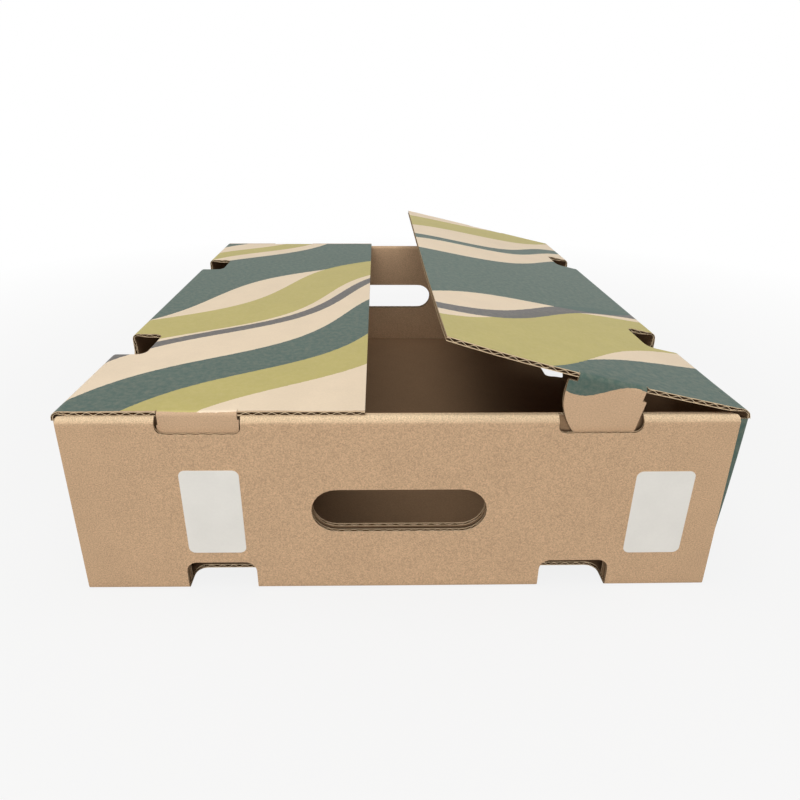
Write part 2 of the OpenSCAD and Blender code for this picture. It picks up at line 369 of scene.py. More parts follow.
def cut_sheet(sheet, extra_columns=()):
    """Points (u, v) and triangles of a flat sheet with its cuts taken out.

    Between the ends of the cuts each strip that is left is a grid of columns and rows. Every row's height
    is held between the strip's lower and upper edge, so that the edges are followed exactly, and triangles
    without area go.
    """
    first, last = sheet.columns.min(), sheet.columns.max()
    low, high = sheet.rows.min(), sheet.rows.max()
    columns = np.clip(np.concatenate([sheet.columns, extra_columns]), first, last)
    columns = np.unique(columns.round(DECIMALS))
    ends = [first, last] + [end for cut in sheet.cuts for end in (cut.start, cut.stop)]
    ends = np.unique(np.round(ends, DECIMALS))
    edges = [(cut, edge) for cut in sheet.cuts for edge in (cut.low, cut.high)]
    edge_rows = [edge(np.array([cut.start, cut.stop])) for cut, edge in edges]
    crossed = [edge(ends[(ends >= cut.start) & (ends <= cut.stop)]) for cut, edge in edges]
    rows = np.clip(np.concatenate([sheet.rows, *edge_rows, *crossed]), low, high)
    rows = np.unique(rows.round(DECIMALS))
    points, triangles, count = [], [], 0
    for start, stop in zip(ends[:-1], ends[1:]):
        inside = columns[(columns > start + TINY) & (columns < stop - TINY)]
        u = np.concatenate([[start], inside, [stop]])
        through = [cut for cut in sheet.cuts if cut.start <= start + TINY and cut.stop >= stop - TINY]
        through.sort(key=lambda cut: cut.low(u).mean())
        lower = np.full_like(u, low)
        for cut in through + [Cut(first, last, level(high), level(high))]:
            upper = np.clip(cut.low(u), lower, high)
            v = np.clip(rows[:, None], lower, upper)
            corners = np.arange(v.size).reshape(v.shape) + count
            a, b, c, d = corners[:-1, :-1], corners[:-1, 1:], corners[1:, 1:], corners[1:, :-1]
            points.append(np.stack([np.broadcast_to(u, v.shape), v], -1).reshape(-1, 2))
            triangles.append(np.stack([a, b, c, a, c, d], -1).reshape(-1, 3))
            count += v.size
            lower = np.maximum(lower, cut.high(u))
    keys, welded = np.unique(np.concatenate(points).round(DECIMALS), axis=0, return_inverse=True)
    triangles = welded.reshape(-1)[np.concatenate(triangles)]
    a, b, c = triangles.T
    used, triangles = np.unique(triangles[(a != b) & (b != c) & (c != a)], return_inverse=True)
    return keys[used], triangles.reshape(-1, 3)


def closed_slab(name, outside, inside, triangles, blank, materials, skin):
    """A closed slab over a cut sheet: its outside points, its inside points and a rim along the cut edges.

    The rim stands on every edge that only one triangle uses. The signed volume, a third of the sum of each
    corner times its triangle's normal, tells which way the faces have to point.
    """
    count = len(outside)
    edges = np.concatenate([triangles[:, [0, 1]], triangles[:, [1, 2]], triangles[:, [2, 0]]])
    keys = np.sort(edges, axis=1) @ np.array([count, 1])
    _, where, uses = np.unique(keys, return_index=True, return_counts=True)
    a, b = edges[where[uses == 1]].T
    rim = np.concatenate([np.stack([b, a, a + count], 1), np.stack([b, a + count, b + count], 1)])
    faces = np.concatenate([triangles, triangles[:, ::-1] + count, rim])
    points = np.concatenate([outside, inside])
    p, q, r = points[faces].transpose(1, 0, 2)
    if np.einsum("ij,ij->", p, np.cross(q, r)) < 0:
        faces = faces[:, ::-1]
    mesh = bpy.data.meshes.new(name)
    mesh.from_pydata(points, [], faces)
    places = mesh.attributes.new("blank", "FLOAT_VECTOR", "POINT")
    places.data.foreach_set("vector", np.concatenate([blank, blank]).astype(np.float32).ravel())
    for material in materials:
        mesh.materials.append(material)
    index = np.concatenate([skin, np.ones(len(triangles)), np.zeros(len(rim))]).astype(np.int32)
    mesh.polygons.foreach_set("material_index", index)
    mesh.polygons.foreach_set("use_smooth", np.ones(len(faces), bool))
    mesh.set_sharp_from_angle(angle=SHARP_EDGE)
    mesh.update()
    piece = bpy.data.objects.new(name, mesh)
    bpy.context.scene.collection.objects.link(piece)
    return piece


def make_board(name, sheet, fold, blank_of, skins, skin_of):
    """Outer liner, fluted paper and inner liner of one folded board.

    Each layer is the same cut sheet at two depths below the board's outer face. The liners are level and
    the fluted paper follows a sine across the columns: depth = middle + height * sin(2 pi u / pitch). Its
    two faces stand further apart where it is steep, so that the paper keeps its thickness. It is made in a
    front and a back half, which keeps each piece's count of triangles down.
    """
    board = bpy.context.scene.fruit_box_board
    kraft, lining, edge = bare_kraft(), inner_kraft(), cut_paper()
    turn = 2 * np.pi / board.flute
    height = BOARD_T / 2 - board.liner - board.medium / 2
    first, last = sheet.columns.min(), sheet.columns.max()
    flute_columns = np.arange(first, last, board.flute / FLUTE_STEPS)

    def wave(u):
        return BOARD_T / 2 + height * np.sin(turn * u)

    def half(u):
        return board.medium / 2 * np.hypot(1, height * turn * np.cos(turn * u))

    front = sheet._replace(rows=sheet.rows[sheet.rows < TINY])
    back = sheet._replace(rows=sheet.rows[sheet.rows > -TINY])
    fluting = (flute_columns, lambda u: wave(u) - half(u), lambda u: wave(u) + half(u),
               [edge, fluted_paper(), fluted_paper()])
    layers = {
        "outer_liner": (sheet, (), level(0.0), level(board.liner), [edge, kraft, *skins]),
        "front_flutes": (front, *fluting),
        "back_flutes": (back, *fluting),
        "inner_liner": (sheet, (), level(BOARD_T), level(BOARD_T - board.liner), [edge, lining, lining]),
    }
    pieces = []
    for layer, (part, extra_columns, outside, inside, materials) in layers.items():
        points, triangles = cut_sheet(part, extra_columns)
        u, v = points.T
        middles = points[triangles].mean(axis=1)
        skin = 2 + skin_of(*middles.T) if layer == "outer_liner" else np.full(len(triangles), 2)
        blank = np.stack([blank_of(u), v, 0 * u], -1)
        pieces.append(closed_slab(f"{name}_{layer}", fold(u, v, outside(u)), fold(u, v, inside(u)),
                                  triangles, blank, materials, skin))
    return pieces


def bowed(x, y):
    """How far a point moves outwards along the box: most in the middle of the ends, as (1 - x^2) y^5."""
    board = bpy.context.scene.fruit_box_board
    return board.bow * (1 - (x / HALF_W) ** 2) * (y / HALF_L) ** 5


def leant(lean, y, z):
    """How far a side wall stands out, when it leans out by that length at its front upper corner.

    Along the box it falls evenly from the front to the back and flares at the front corner, as the eighth
    power of the distance from the back. Up the wall it rises as t (1 + bulge - bulge t), with t from 0 at
    the floor to 1 at the fold.
    """
    back = (1 - y / HALF_L) / 2
    t = np.clip((z - BOARD_T) / (FLAP_TOP - BOARD_T), 0, 1)
    along = LEAN_EVEN + LEAN_SLOPE * back + LEAN_FLARE * back ** 8
    return lean * along * t * (1 + LEAN_BULGE - LEAN_BULGE * t)


def crease_path(lift):
    """Fold and whole length of a flap's crease, from the side wall to the flap, when it stands lift open."""
    board = bpy.context.scene.fruit_box_board
    flap_start = complex(-HALF_W + CREASE_LEG, FLAP_TOP)
    flap_start = PIVOT + (flap_start - PIVOT) * np.exp(1j * lift)
    flap_leg = (flap_start.real + HALF_W) / np.cos(lift)
    wall_leg = flap_start.imag - flap_leg * np.sin(lift) - (FLAP_TOP - CREASE_LEG)
    bend = QUARTER - lift
    tangent = board.crease_r * np.tan(bend / 2)
    fold = (wall_leg - tangent, board.crease_r, bend)
    return fold, wall_leg + flap_leg - 2 * tangent + board.crease_r * bend


def side_notch_rows(openings):
    """Where a side wall's notch begins and ends, along the sheet."""
    middle = HALF_L - openings.side_notch_end - openings.side_notch_w / 2
    half = openings.side_notch_w / 2
    return middle - half, middle + half


def fold_notches(openings, start, stop, **radii):
    """The two notches at a flap's fold, over a run of columns."""
    return with_mirror_rows([window(start, stop, *side_notch_rows(openings), **radii)])


def end_rows(board):
    """Lengths along the sheet, from its middle, at which the parts of an end wall lie.

    They are where the wall rises, the starts of the bevel's two folds, and the start and the end of the top
    strip.
    """
    rise = HALF_L - BOARD_T + ARC
    lower_fold = rise + END_H - BOARD_T - board.bevel
    bend = board.bevel_r * QUARTER / 2
    upper_fold = lower_fold + bend + (board.bevel - board.bevel_r) * 2 ** 0.5
    strip_start = upper_fold + bend
    return rise, lower_fold, upper_fold, strip_start, strip_start + END_WALL_T - board.bevel - BOARD_T


def tray_sheet(board, openings):
    """The tray's part of the sheet, the function that folds it and its last column.

    Columns run across the floor and up the side walls, rows along the floor, up the end walls, over their
    top strips and down their inner panels. Lengths are measured on the outer face, so a fold takes up its
    arc.
    """
    rise, lower_fold, upper_fold, strip_start, strip_end = end_rows(board)
    end_folds = [(HALF_L - BOARD_T, BOARD_T, QUARTER),
                 (lower_fold, board.bevel_r, QUARTER / 2), (upper_fold, board.bevel_r, QUARTER / 2),
                 (strip_end, BOARD_T, QUARTER)]
    side_folds = [(HALF_W - BOARD_T, BOARD_T, QUARTER)]
    corner_folds = [(FOLD_HALF - BOARD_T, BOARD_T, QUARTER)]
    corner_start = FOLD_HALF - BOARD_T + ARC
    wall_foot = HALF_W - BOARD_T + ARC + board.die_cut

    def on_panel(z):
        return rise + z - BOARD_T

    def on_inner(z):
        return strip_end + ARC + END_H - BOARD_T - z

    def on_wall(z):
        return HALF_W - BOARD_T + ARC + z - BOARD_T

    last_column = on_wall(FLAP_TOP - CREASE_LEG)
    (hinge_start, *hinge), _ = crease_path(0.0)
    side_creases = side_folds + [(last_column + hinge_start, *hinge)]
    last_row = on_inner(0)
    inner_half = HALF_W - MIDDLE_IN
    slot_stop = HALF_W - openings.slot_side
    notch_stop = HALF_W - openings.end_notch_side
    notch_start = notch_stop - openings.end_notch_w
    tab_stop = notch_start - openings.tab_side
    tab_start = tab_stop - openings.tab_w
    foot_gaps = ((0, tab_start), (tab_stop, notch_start), (notch_stop, inner_half))
    half_hole = openings.hole_h / 2
    hole_low, hole_high = openings.hole_z - half_hole, openings.hole_z + half_hole
    side_rows = side_notch_rows(openings)
    corner_reach = openings.slot_side - BOARD_T - openings.corner_room
    hole_ends = {"stop_low": half_hole, "stop_high": half_hole}
    notch_lows = {"start_low": openings.notch_r, "stop_low": openings.notch_r}
    notch_highs = {"start_high": openings.notch_r, "stop_high": openings.notch_r}

    def bevel_corner(u):
        return strip_start - corner(HALF_W - u, MIDDLE_IN)

    cuts = [
        window(0, openings.hole_w / 2, on_panel(hole_low), on_panel(hole_high), **hole_ends),
        window(0, openings.hole_w / 2, on_inner(hole_high), on_inner(hole_low), **hole_ends),
        window(slot_stop - openings.slot_w, slot_stop, on_panel(END_H - openings.slot_h), strip_end,
               start_low=openings.slot_r, stop_low=openings.slot_r),
        window(notch_start, notch_stop, HALF_L - openings.notch_reach, on_panel(openings.notch_h),
               **notch_lows, **notch_highs),
        window(notch_start, notch_stop, on_inner(openings.notch_h), last_row, **notch_lows),
        *[window(*gap, on_inner(BOARD_T), last_row) for gap in foot_gaps],
        window(tab_start - openings.tab_play, tab_stop + openings.tab_play,
               HALF_L - INNER_IN - BOARD_T - openings.tab_play, HALF_L - INNER_IN),
        Cut(inner_half, HALF_W, bevel_corner, level(last_row), True),
        window(HALF_W - BOARD_T, HALF_W, FOLD_HALF, HALF_L - BOARD_T),
        window(HALF_W, wall_foot, FOLD_HALF, last_row),
        window(wall_foot, wall_foot + board.die_cut, FOLD_HALF - BOARD_T, last_row),
        window(wall_foot + board.die_cut, last_column, corner_start + corner_reach, last_row),
        window(HALF_W - openings.notch_reach, on_wall(openings.notch_h), *side_rows,
               **notch_lows, **notch_highs),
        window(on_wall(FLAP_TOP - openings.fold_notch_h), last_column, *side_rows,
               start_low=openings.fold_notch_r, start_high=openings.fold_notch_r),
    ]
    cuts = with_mirror_columns(with_mirror_rows(cuts))
    column_count, row_count = TRAY_GRID
    half_columns = np.concatenate([fold_steps(side_folds), np.linspace(0, last_column, column_count)])
    half_rows = np.concatenate([fold_steps(end_folds + corner_folds), np.linspace(0, last_row, row_count)])
    sheet = Sheet(np.concatenate([-half_columns, half_columns, curve_columns(cuts)]),
                  np.concatenate([-half_rows, half_rows]), cuts)

    def fold(u, v, depth):
        """Where the sheet's points lie in the folded tray."""
        across, along = np.abs(u), np.abs(v)
        in_end = along > HALF_L - BOARD_T - LAYER_PLAY / 2
        in_end &= across < HALF_W + TINY
        in_corner = (across > wall_foot + board.die_cut / 2) & (along > FOLD_HALF - BOARD_T)
        end = folded(along, depth, board, end_folds)
        side = folded(across, depth, board, side_folds, side_creases)
        bend = folded(along, depth, board, corner_folds)
        margin = np.clip((across / HALF_W - 1) / TAPER_PART + 1, 0, 1)
        drawn_in = across - board.taper * margin * end.imag / END_H
        x = np.where(in_end, drawn_in, np.where(in_corner, HALF_W - bend.imag, side.real))
        y = np.where(in_end, end.real, np.where(in_corner, bend.real, along))
        z = np.where(in_end, end.imag, side.imag)
        y = y * np.sign(v)
        in_wall = ~in_end & (across > HALF_W - BOARD_T)
        lean = np.where(u < 0, board.lean_left, board.lean_right)
        x = np.sign(u) * (x + np.where(in_wall, leant(lean, y, z), 0))
        return np.stack([x, y + bowed(x, y), z], -1)

    return sheet, fold, last_column


def crease_sheet(board, openings, lift, lean):
    """One flap's crease, as the closed left one: its sheet, the function that folds it and its last column.

    It is the strip of board round the fold between a side wall and its flap.
    """
    path, last_column = crease_path(lift)
    sheet = Sheet(np.concatenate([[0.0, last_column], fold_steps([path], count=11)]),
                  np.linspace(-FOLD_HALF, FOLD_HALF, CREASE_ROWS), fold_notches(openings, 0, last_column))

    def fold(u, v, depth):
        """Up the side wall, round the fold and on to the flap."""
        place = folded(u, depth, board, [path])
        z = FLAP_TOP - CREASE_LEG + place.real
        part = 1 - (1 - board.lean_share) * u / last_column
        x = place.imag - HALF_W - part * leant(lean, v, z)
        return np.stack([x, v + bowed(x, v), z], -1)

    return sheet, fold, last_column


def flap_sheet(board, openings, lift, lean, curl, snug):
    """One flap with its two tongues, as the closed left one, and the function that folds and lifts it.

    Columns run from the fold to the mouth, rows along the flap and down its tongues. A tongue's lower edge
    is the nearer of a rectangle with rounded corners and an arc about the fold, which lets it swing out of
    its slot. The curl lifts the front half as u^3 y^2, with u from the fold and y from the middle.
    """
    tongue_folds = [(FOLD_HALF - BOARD_T, BOARD_T, QUARTER)]
    tongue_top = FOLD_HALF - BOARD_T + ARC
    (hinge_start, *hinge), crease_length = crease_path(lift)
    hinge_folds = [(hinge_start - crease_length + CREASE_LEG, *hinge)]
    neck = openings.slot_side + openings.tongue_play
    barb = neck + openings.barb_w * (1 - snug)
    ear_r = openings.slot_side + openings.slot_w - openings.tongue_play - PIVOT_IN
    ear = ear_r + PIVOT_IN
    nick = ear - openings.nick_w * (1 - snug)
    nick_end = PIVOT_IN + np.sqrt(ear_r ** 2 - (openings.nick_drop - PIVOT_IN) ** 2)
    slit = board.die_cut

    def on_tongue(drop):
        return tongue_top + drop - BOARD_T

    def tongue_edge(u):
        square = TONGUE_DROP - rounding(u, neck, ear, openings.tongue_r, openings.ear_tip_r)
        arc = PIVOT_IN + np.sqrt(np.maximum(ear_r ** 2 - (u - PIVOT_IN) ** 2, 0))
        return on_tongue(np.minimum(square, arc))

    last_row = on_tongue(TONGUE_DROP)
    cuts = [
        window(CREASE_LEG, neck, FOLD_HALF, last_row),
        window(neck, barb, FOLD_HALF, on_tongue(openings.barb_drop)),
        window(barb, barb + slit, FOLD_HALF - BOARD_T, on_tongue(openings.barb_drop)),
        Cut(neck, nick_end, tongue_edge, level(last_row), True),
        window(nick, nick + slit, FOLD_HALF - BOARD_T, on_tongue(openings.nick_drop)),
        window(nick + slit, nick_end, FOLD_HALF, on_tongue(openings.nick_drop)),
        window(nick_end, FLAP_REACH, FOLD_HALF, last_row),
    ]
    cuts = with_mirror_rows(cuts)
    cuts += fold_notches(openings, CREASE_LEG, openings.fold_notch_reach,
                         stop_low=openings.fold_notch_r, stop_high=openings.fold_notch_r)
    column_count, row_count = FLAP_GRID
    half_rows = np.concatenate([fold_steps(tongue_folds), np.linspace(0, last_row, row_count)])
    columns = [np.linspace(CREASE_LEG, FLAP_REACH, column_count), CREASE_LEG + NEAR_CREASE,
               curve_columns(cuts, count=25)]
    sheet = Sheet(np.concatenate(columns), np.concatenate([-half_rows, half_rows]), cuts)

    def fold(u, v, depth):
        """Tongues down about their folds, then the whole flap open about its own."""
        along = np.abs(v)
        in_tongue = (u > barb + slit / 2) & (u < nick + slit / 2) | (along > FOLD_HALF + slit)
        in_tongue &= along > FOLD_HALF - BOARD_T
        depth = depth * crushed(u, hinge_folds, board)
        place = folded(along, depth, board, tongue_folds)
        y = np.where(in_tongue, place.real, along) * np.sign(v)
        drop = np.where(in_tongue, place.imag, depth)
        flat = u - HALF_W + 1j * (FLAP_TOP - drop)
        lifted = PIVOT + (flat - PIVOT) * np.exp(1j * lift)
        raised = curl * (u / FLAP_REACH) ** 3 * np.clip(-y / HALF_L, 0, 1) ** 2
        fade = np.clip((board.lean_fade - u) / (board.lean_fade - CREASE_LEG), 0, 1)
        x = lifted.real - board.lean_share * leant(lean, y, FLAP_TOP) * fade ** 2 * (3 - 2 * fade)
        return np.stack([x, y + bowed(flat.real, y), lifted.imag + raised], -1)

    return sheet, fold


def add(tree, kind, inputs=None, **settings):
    """Adds a shader node, sets its properties, and links or sets its inputs.

    A node given as an input stands for the first of its outputs that is in use.
    """
    made = tree.nodes.new("ShaderNode" + kind)
    for name, value in settings.items():
        setattr(made, name, value)
    for key, value in (inputs or {}).items():
        if isinstance(value, bpy.types.Node):
            value = next(output for output in value.outputs if output.enabled)
        if isinstance(value, bpy.types.NodeSocket):
            tree.links.new(value, made.inputs[key])
        else:
            made.inputs[key].default_value = value
    return made


def mottled(tree, where, size_mm, spread, detail=3.0, roughness=0.65):
    """Noise of a size, and a factor that spreads evenly about 1 with it."""
    noise = add(tree, "TexNoise", {"Vector": where, "Scale": 1 / (size_mm * MM), "Detail": detail,
                                   "Roughness": roughness})
    factor = add(tree, "MapRange", {"Value": noise, "From Min": 0.3, "From Max": 0.7,
                                    "To Min": 1 - spread, "To Max": 1 + spread})
    return noise, factor


def waved(tree, base, along, wave, phase, swing):
    """The base plus swing * sin(2 pi along / wave + phase)."""
    turn = add(tree, "Math", {0: along, 1: 2 * np.pi / wave, 2: phase}, operation="MULTIPLY_ADD")
    sine = add(tree, "Math", {0: turn}, operation="SINE")
    return add(tree, "Math", {0: sine, 1: swing, 2: base}, operation="MULTIPLY_ADD")


def paper(name, ground, fibre_mm, speckle, roughness, specular, washboard_mm=0.0):
    """A matt paper: the ground colour with fibre speckle and cloudy shade, and a fibre bump.

    The ground is a function that adds the colour's nodes and returns the last one, or a plain colour's
    name. Where washboard_mm is given, the bump also shows that height of the flutes beneath.
    """
    if name in bpy.data.materials:
        return bpy.data.materials[name]
    board, colours = bpy.context.scene.fruit_box_board, bpy.context.scene.fruit_box_colours
    material = bpy.data.materials.new(name)
    material.use_nodes = True
    tree = material.node_tree
    tree.nodes.clear()
    where = add(tree, "TexCoord").outputs["Object"]
    fibres, grain = mottled(tree, where, fibre_mm, speckle)
    _, shade = mottled(tree, where, CLOUD_MM, spread=0.025, detail=2.0, roughness=0.5)
    tone = add(tree, "Math", {0: grain, 1: shade}, operation="MULTIPLY")
    base = ground(tree) if callable(ground) else tuple(getattr(colours, ground))
    tint = add(tree, "VectorMath", {0: base, "Scale": tone}, operation="SCALE")
    height = add(tree, "Math", {0: fibres, 1: FIBRE_BUMP_MM * MM}, operation="MULTIPLY")
    if washboard_mm:
        blank = add(tree, "Attribute", attribute_name="blank")
        place = add(tree, "SeparateXYZ", {0: blank.outputs["Vector"]})
        height = waved(tree, height, place.outputs["X"], board.flute, 0.0, washboard_mm * MM)
    bump = add(tree, "Bump", {"Height": height, "Distance": 1.0, "Strength": 0.6})
    shader = add(tree, "BsdfPrincipled", {"Base Color": tint, "Roughness": roughness,
                                          "Specular IOR Level": specular, "Normal": bump})
    add(tree, "OutputMaterial", {"Surface": shader})
    return material


def bare_kraft():
    """Unbleached kraft liner, pressed smooth: matt brown with a fine fibre speckle and faint flutes.

    It is paler along the top of the end walls, more and more over the bevel and evenly on the strip: partly
    rubbed kraft, partly a painted highlight and sheen where the top faces the light from above.
    """
    board, colours = bpy.context.scene.fruit_box_board, bpy.context.scene.fruit_box_colours
    _, lower_fold, upper_fold, _, strip_end = end_rows(board)

    def ground(tree):
        blank = add(tree, "Attribute", attribute_name="blank")
        along = add(tree, "SeparateXYZ", {0: blank.outputs["Vector"]}).outputs["Y"]
        reach = add(tree, "Math", {0: along}, operation="ABSOLUTE")
        # Share of painted highlight and rubbing: rising over the bevel and even on the top strip
        rub_and_sheen = add(tree, "MapRange", {"Value": reach, "From Min": lower_fold - board.bevel_r,
                                     "From Max": upper_fold, "To Max": colours.rub_and_sheen},
                  interpolation_type="SMOOTHSTEP")
        outside = add(tree, "Math", {0: reach, 1: strip_end}, operation="LESS_THAN")
        part = add(tree, "Math", {0: rub_and_sheen, 1: outside}, operation="MULTIPLY")
        return add(tree, "Mix", {0: part, 6: (*colours.kraft, 1.0), 7: (*colours.rubbed_and_sheen, 1.0)},
                   data_type="RGBA")

    return paper("kraft_liner", ground, fibre_mm=KRAFT_FIBRE_MM, speckle=0.28, roughness=0.82,
                 specular=0.25, washboard_mm=FLUTE_BUMP_MM)


def inner_kraft():
    """Inner liner: darker and duller than the outer one."""
    return paper("inner_kraft_liner", "inside", fibre_mm=0.9, speckle=0.14, roughness=0.88, specular=0.2,
                 washboard_mm=FLUTE_BUMP_MM)


def fluted_paper():
    """Recycled fluting paper: darker and rougher than the liners, seen only in the cut edges.

    Its darkness is partly painted shade in the hollows of the flutes.
    """
    return paper("fluted_paper", "medium", fibre_mm=1.1, speckle=0.06, roughness=0.9, specular=0.2)


def cut_paper():
    """Die-cut edge of the papers: torn fibre ends, paler than the faces."""
    return paper("cut_paper_edge", "cut_edge", fibre_mm=0.8, speckle=0.08, roughness=0.92, specular=0.15)


def label_paper():
    """Coated label paper: smooth off-white with hardly any speckle."""
    return paper("coated_label_paper", "label", fibre_mm=1.6, speckle=0.012, roughness=0.6, specular=0.4)


class Ribbon(NamedTuple):
    """One wavy printed ribbon, in millimetres on the flat sheet: its ink, where it lies and how it waves."""
    ink: str
    middle: float
    width: float
    swing: float
    wave: float
    phase: float


class Print(NamedTuple):
    """Print of one side of the box, in millimetres and degrees on the flat sheet.

    The turn is that of the ribbons from the flap's length. The print runs on to the tongues by bleed, give
    or take bleed_swing on a wave.
    """
    name: str
    turn: float
    bleed: float
    bleed_swing: float
    bleed_wave: float
    bleed_phase: float
    ribbons: tuple


LEFT_PRINT = Print("printed_kraft_left", 40.0, -1.2, 0.3, 60.0, 0.0, (
    Ribbon("green", -140.0, 74.0, 13.0, 210.0, 0.4),
    Ribbon("olive", -80.0, 22.0, 10.0, 190.0, 1.2),
    Ribbon("green", -14.0, 84.0, 12.0, 230.0, 2.6),
    Ribbon("olive", 66.0, 44.0, 14.0, 240.0, 0.9),
    Ribbon("grey", 98.0, 9.0, 13.0, 240.0, 0.7),
    Ribbon("green", 150.0, 34.0, 12.0, 230.0, 1.6),
    Ribbon("olive", 182.0, 30.0, 12.0, 230.0, 1.6),
))
RIGHT_PRINT = Print("printed_kraft_right", 120.0, 5.0, 5.0, 56.0, -1.8, (
    Ribbon("green", 190.0, 130.0, 9.0, 200.0, 0.3),
    Ribbon("olive", 84.0, 62.0, 11.0, 210.0, 1.8),
    Ribbon("grey", 45.0, 13.0, 9.0, 190.0, 2.3),
    Ribbon("green", -30.0, 118.0, 14.0, 220.0, 0.2),
    Ribbon("green", -128.0, 15.0, 11.0, 170.0, 1.1),
    Ribbon("olive", -196.0, 46.0, 12.0, 200.0, 2.9),
))


def printed_kraft(layout):
    """Kraft liner with a cream ground, printed in flat inks: satin fields with slightly ragged edges.

    A ribbon covers the points whose distance across its direction, less swing * sin(2 pi along / wave +
    phase), is within half its width of its middle. Beyond the bleed the tongues are bare kraft. The cream
    ground is the kraft's own colour with a painted sheen and top light added.
    """
    colours = bpy.context.scene.fruit_box_colours

    def ground(tree):
        blank = add(tree, "Attribute", attribute_name="blank").outputs["Vector"]
        rag = add(tree, "TexNoise", {"Vector": blank, "Scale": 1 / (RAG_MM * MM), "Detail": 2.0})
        ragged = add(tree, "VectorMath", {0: rag.outputs["Color"], 1: (RAG_REACH_MM * MM,) * 3, 2: blank},
                     operation="MULTIPLY_ADD")
        turned = add(tree, "Mapping", {"Vector": ragged, "Scale": (1 / MM,) * 3,
                                       "Rotation": (0, 0, np.radians(layout.turn))})
        place = add(tree, "SeparateXYZ", {0: turned}).outputs
        wear = add(tree, "TexNoise", {"Vector": blank, "Scale": 1 / (WEAR_MM * MM), "Detail": 4.0,
                                      "Roughness": 0.7})
        cover = add(tree, "MapRange", {"Value": wear, "From Min": 0.25, "From Max": 0.6,
                                       "To Min": 0.9, "To Max": 1.0})
        # Cream ground, with its painted sheen and top light
        tone = (*colours.cream_and_sheen, 1.0)
        for ribbon in layout.ribbons:
            ink = (*getattr(colours, ribbon.ink), 1.0)
            across = waved(tree, place["X"], place["Y"], ribbon.wave, ribbon.phase, -ribbon.swing)
            inside = add(tree, "Math", {0: across, 1: ribbon.middle, 2: ribbon.width / 2},
                         operation="COMPARE")
            part = add(tree, "Math", {0: inside, 1: cover}, operation="MULTIPLY")
            tone = add(tree, "Mix", {0: part, 6: tone, 7: ink}, data_type="RGBA")
        flat = add(tree, "SeparateXYZ", {0: ragged}).outputs
        end = waved(tree, FOLD_HALF + layout.bleed * MM, flat["X"], layout.bleed_wave * MM,
                    layout.bleed_phase, layout.bleed_swing * MM)
        reach = add(tree, "Math", {0: flat["Y"]}, operation="ABSOLUTE")
        beyond = add(tree, "Math", {0: reach, 1: end}, operation="GREATER_THAN")
        on_flap = add(tree, "Math", {0: flat["X"], 1: 0.0}, operation="GREATER_THAN")
        bare = add(tree, "Math", {0: beyond, 1: on_flap}, operation="MULTIPLY")
        _, grain = mottled(tree, blank, KRAFT_FIBRE_MM, spread=0.18)
        kraft = add(tree, "VectorMath", {0: tuple(colours.kraft), "Scale": grain}, operation="SCALE")
        return add(tree, "Mix", {0: bare, 6: tone, 7: kraft}, data_type="RGBA")

    return paper(layout.name, ground, fibre_mm=1.0, speckle=0.03, roughness=0.55, specular=0.4,
                 washboard_mm=FLUTE_BUMP_MM)


class FRUITBOX_OT_tray(bpy.types.Operator):
    """Folds the tray: floor, side walls, corner flaps and double end walls"""
    bl_idname = "fruit_box.tray"
    bl_label = "Fold Tray"

    def execute(self, context):
        board, openings = context.scene.fruit_box_board, context.scene.fruit_box_openings
        sheet, fold, last_column = tray_sheet(board, openings)
        _, crease_length = crease_path(0.0)

        def blank_of(u):
            return np.abs(u) - last_column - crease_length + CREASE_LEG

        def skin_of(u, v):
            printed = (np.abs(u) > HALF_W) | (np.abs(u) > HALF_W - BOARD_T) & (np.abs(v) < FOLD_HALF)
            return np.where(printed, np.where(u < 0, 1, 2), 0)

        skins = [bare_kraft(), printed_kraft(LEFT_PRINT), printed_kraft(RIGHT_PRINT)]
        for piece in make_board("tray", sheet, fold, blank_of, skins, skin_of):
            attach(piece, "tray")
            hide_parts("tray")
        return {"FINISHED"}


def standing_angle(node):
    """Angle at which a flap stands open, from the height of its mouth edge."""
    arm = complex(FLAP_REACH - PIVOT_IN, FLAP_TOP - PIVOT.imag)
    return np.arcsin((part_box(node)[1].z - PIVOT.imag) / abs(arm)) - np.angle(arm)


def flap_sides():
    """Each flap's name, mirror image, print, standing angle, wall's lean, curl and snugness of its nicks."""
    board = bpy.context.scene.fruit_box_board
    return (("left", 1, LEFT_PRINT, standing_angle("left_flap"), board.lean_left, 0.0, board.snug),
            ("right", -1, RIGHT_PRINT, standing_angle("right_flap"), board.lean_right, board.curl, 0.0))


class FRUITBOX_OT_flaps(bpy.types.Operator):
    """Folds both printed flaps with their tongues, at the angles at which they stand"""
    bl_idname = "fruit_box.flaps"
    bl_label = "Fold Flaps"

    def execute(self, context):
        board, openings = context.scene.fruit_box_board, context.scene.fruit_box_openings
        for side, mirror, layout, lift, lean, curl, snug in flap_sides():
            sheet, fold = flap_sheet(board, openings, lift, lean, curl, snug)
            pieces = make_board(f"{side}_flap", sheet, lambda *place: fold(*place) * (mirror, 1, 1),
                                lambda u: u, [printed_kraft(layout)], lambda u, v: 0 * u)
            for piece in pieces:
                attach(piece, f"{side}_flap")
                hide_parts(f"{side}_flap")
        return {"FINISHED"}


class FRUITBOX_OT_creases(bpy.types.Operator):
    """Folds the strips of board that join each flap to its side wall, bent to the angle at which the flap
    stands
    """
    bl_idname = "fruit_box.creases"
    bl_label = "Fold Creases"

    def execute(self, context):
        board, openings = context.scene.fruit_box_board, context.scene.fruit_box_openings
        for side, mirror, layout, lift, lean, *_ in flap_sides():
            sheet, fold, last_column = crease_sheet(board, openings, lift, lean)
            pieces = make_board(f"{side}_crease", sheet, lambda *place: fold(*place) * (mirror, 1, 1),
                                lambda u: u - last_column + CREASE_LEG,
                                [printed_kraft(layout)], lambda u, v: 0 * u)
            ends = fold(np.array([0.0, last_column]), np.zeros(2), np.full(2, BOARD_T)) * (mirror, 1, 1)
            for piece in pieces:
                tuple(ends[0])
                tuple(ends[1])
                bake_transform(piece)
        return {"FINISHED"}


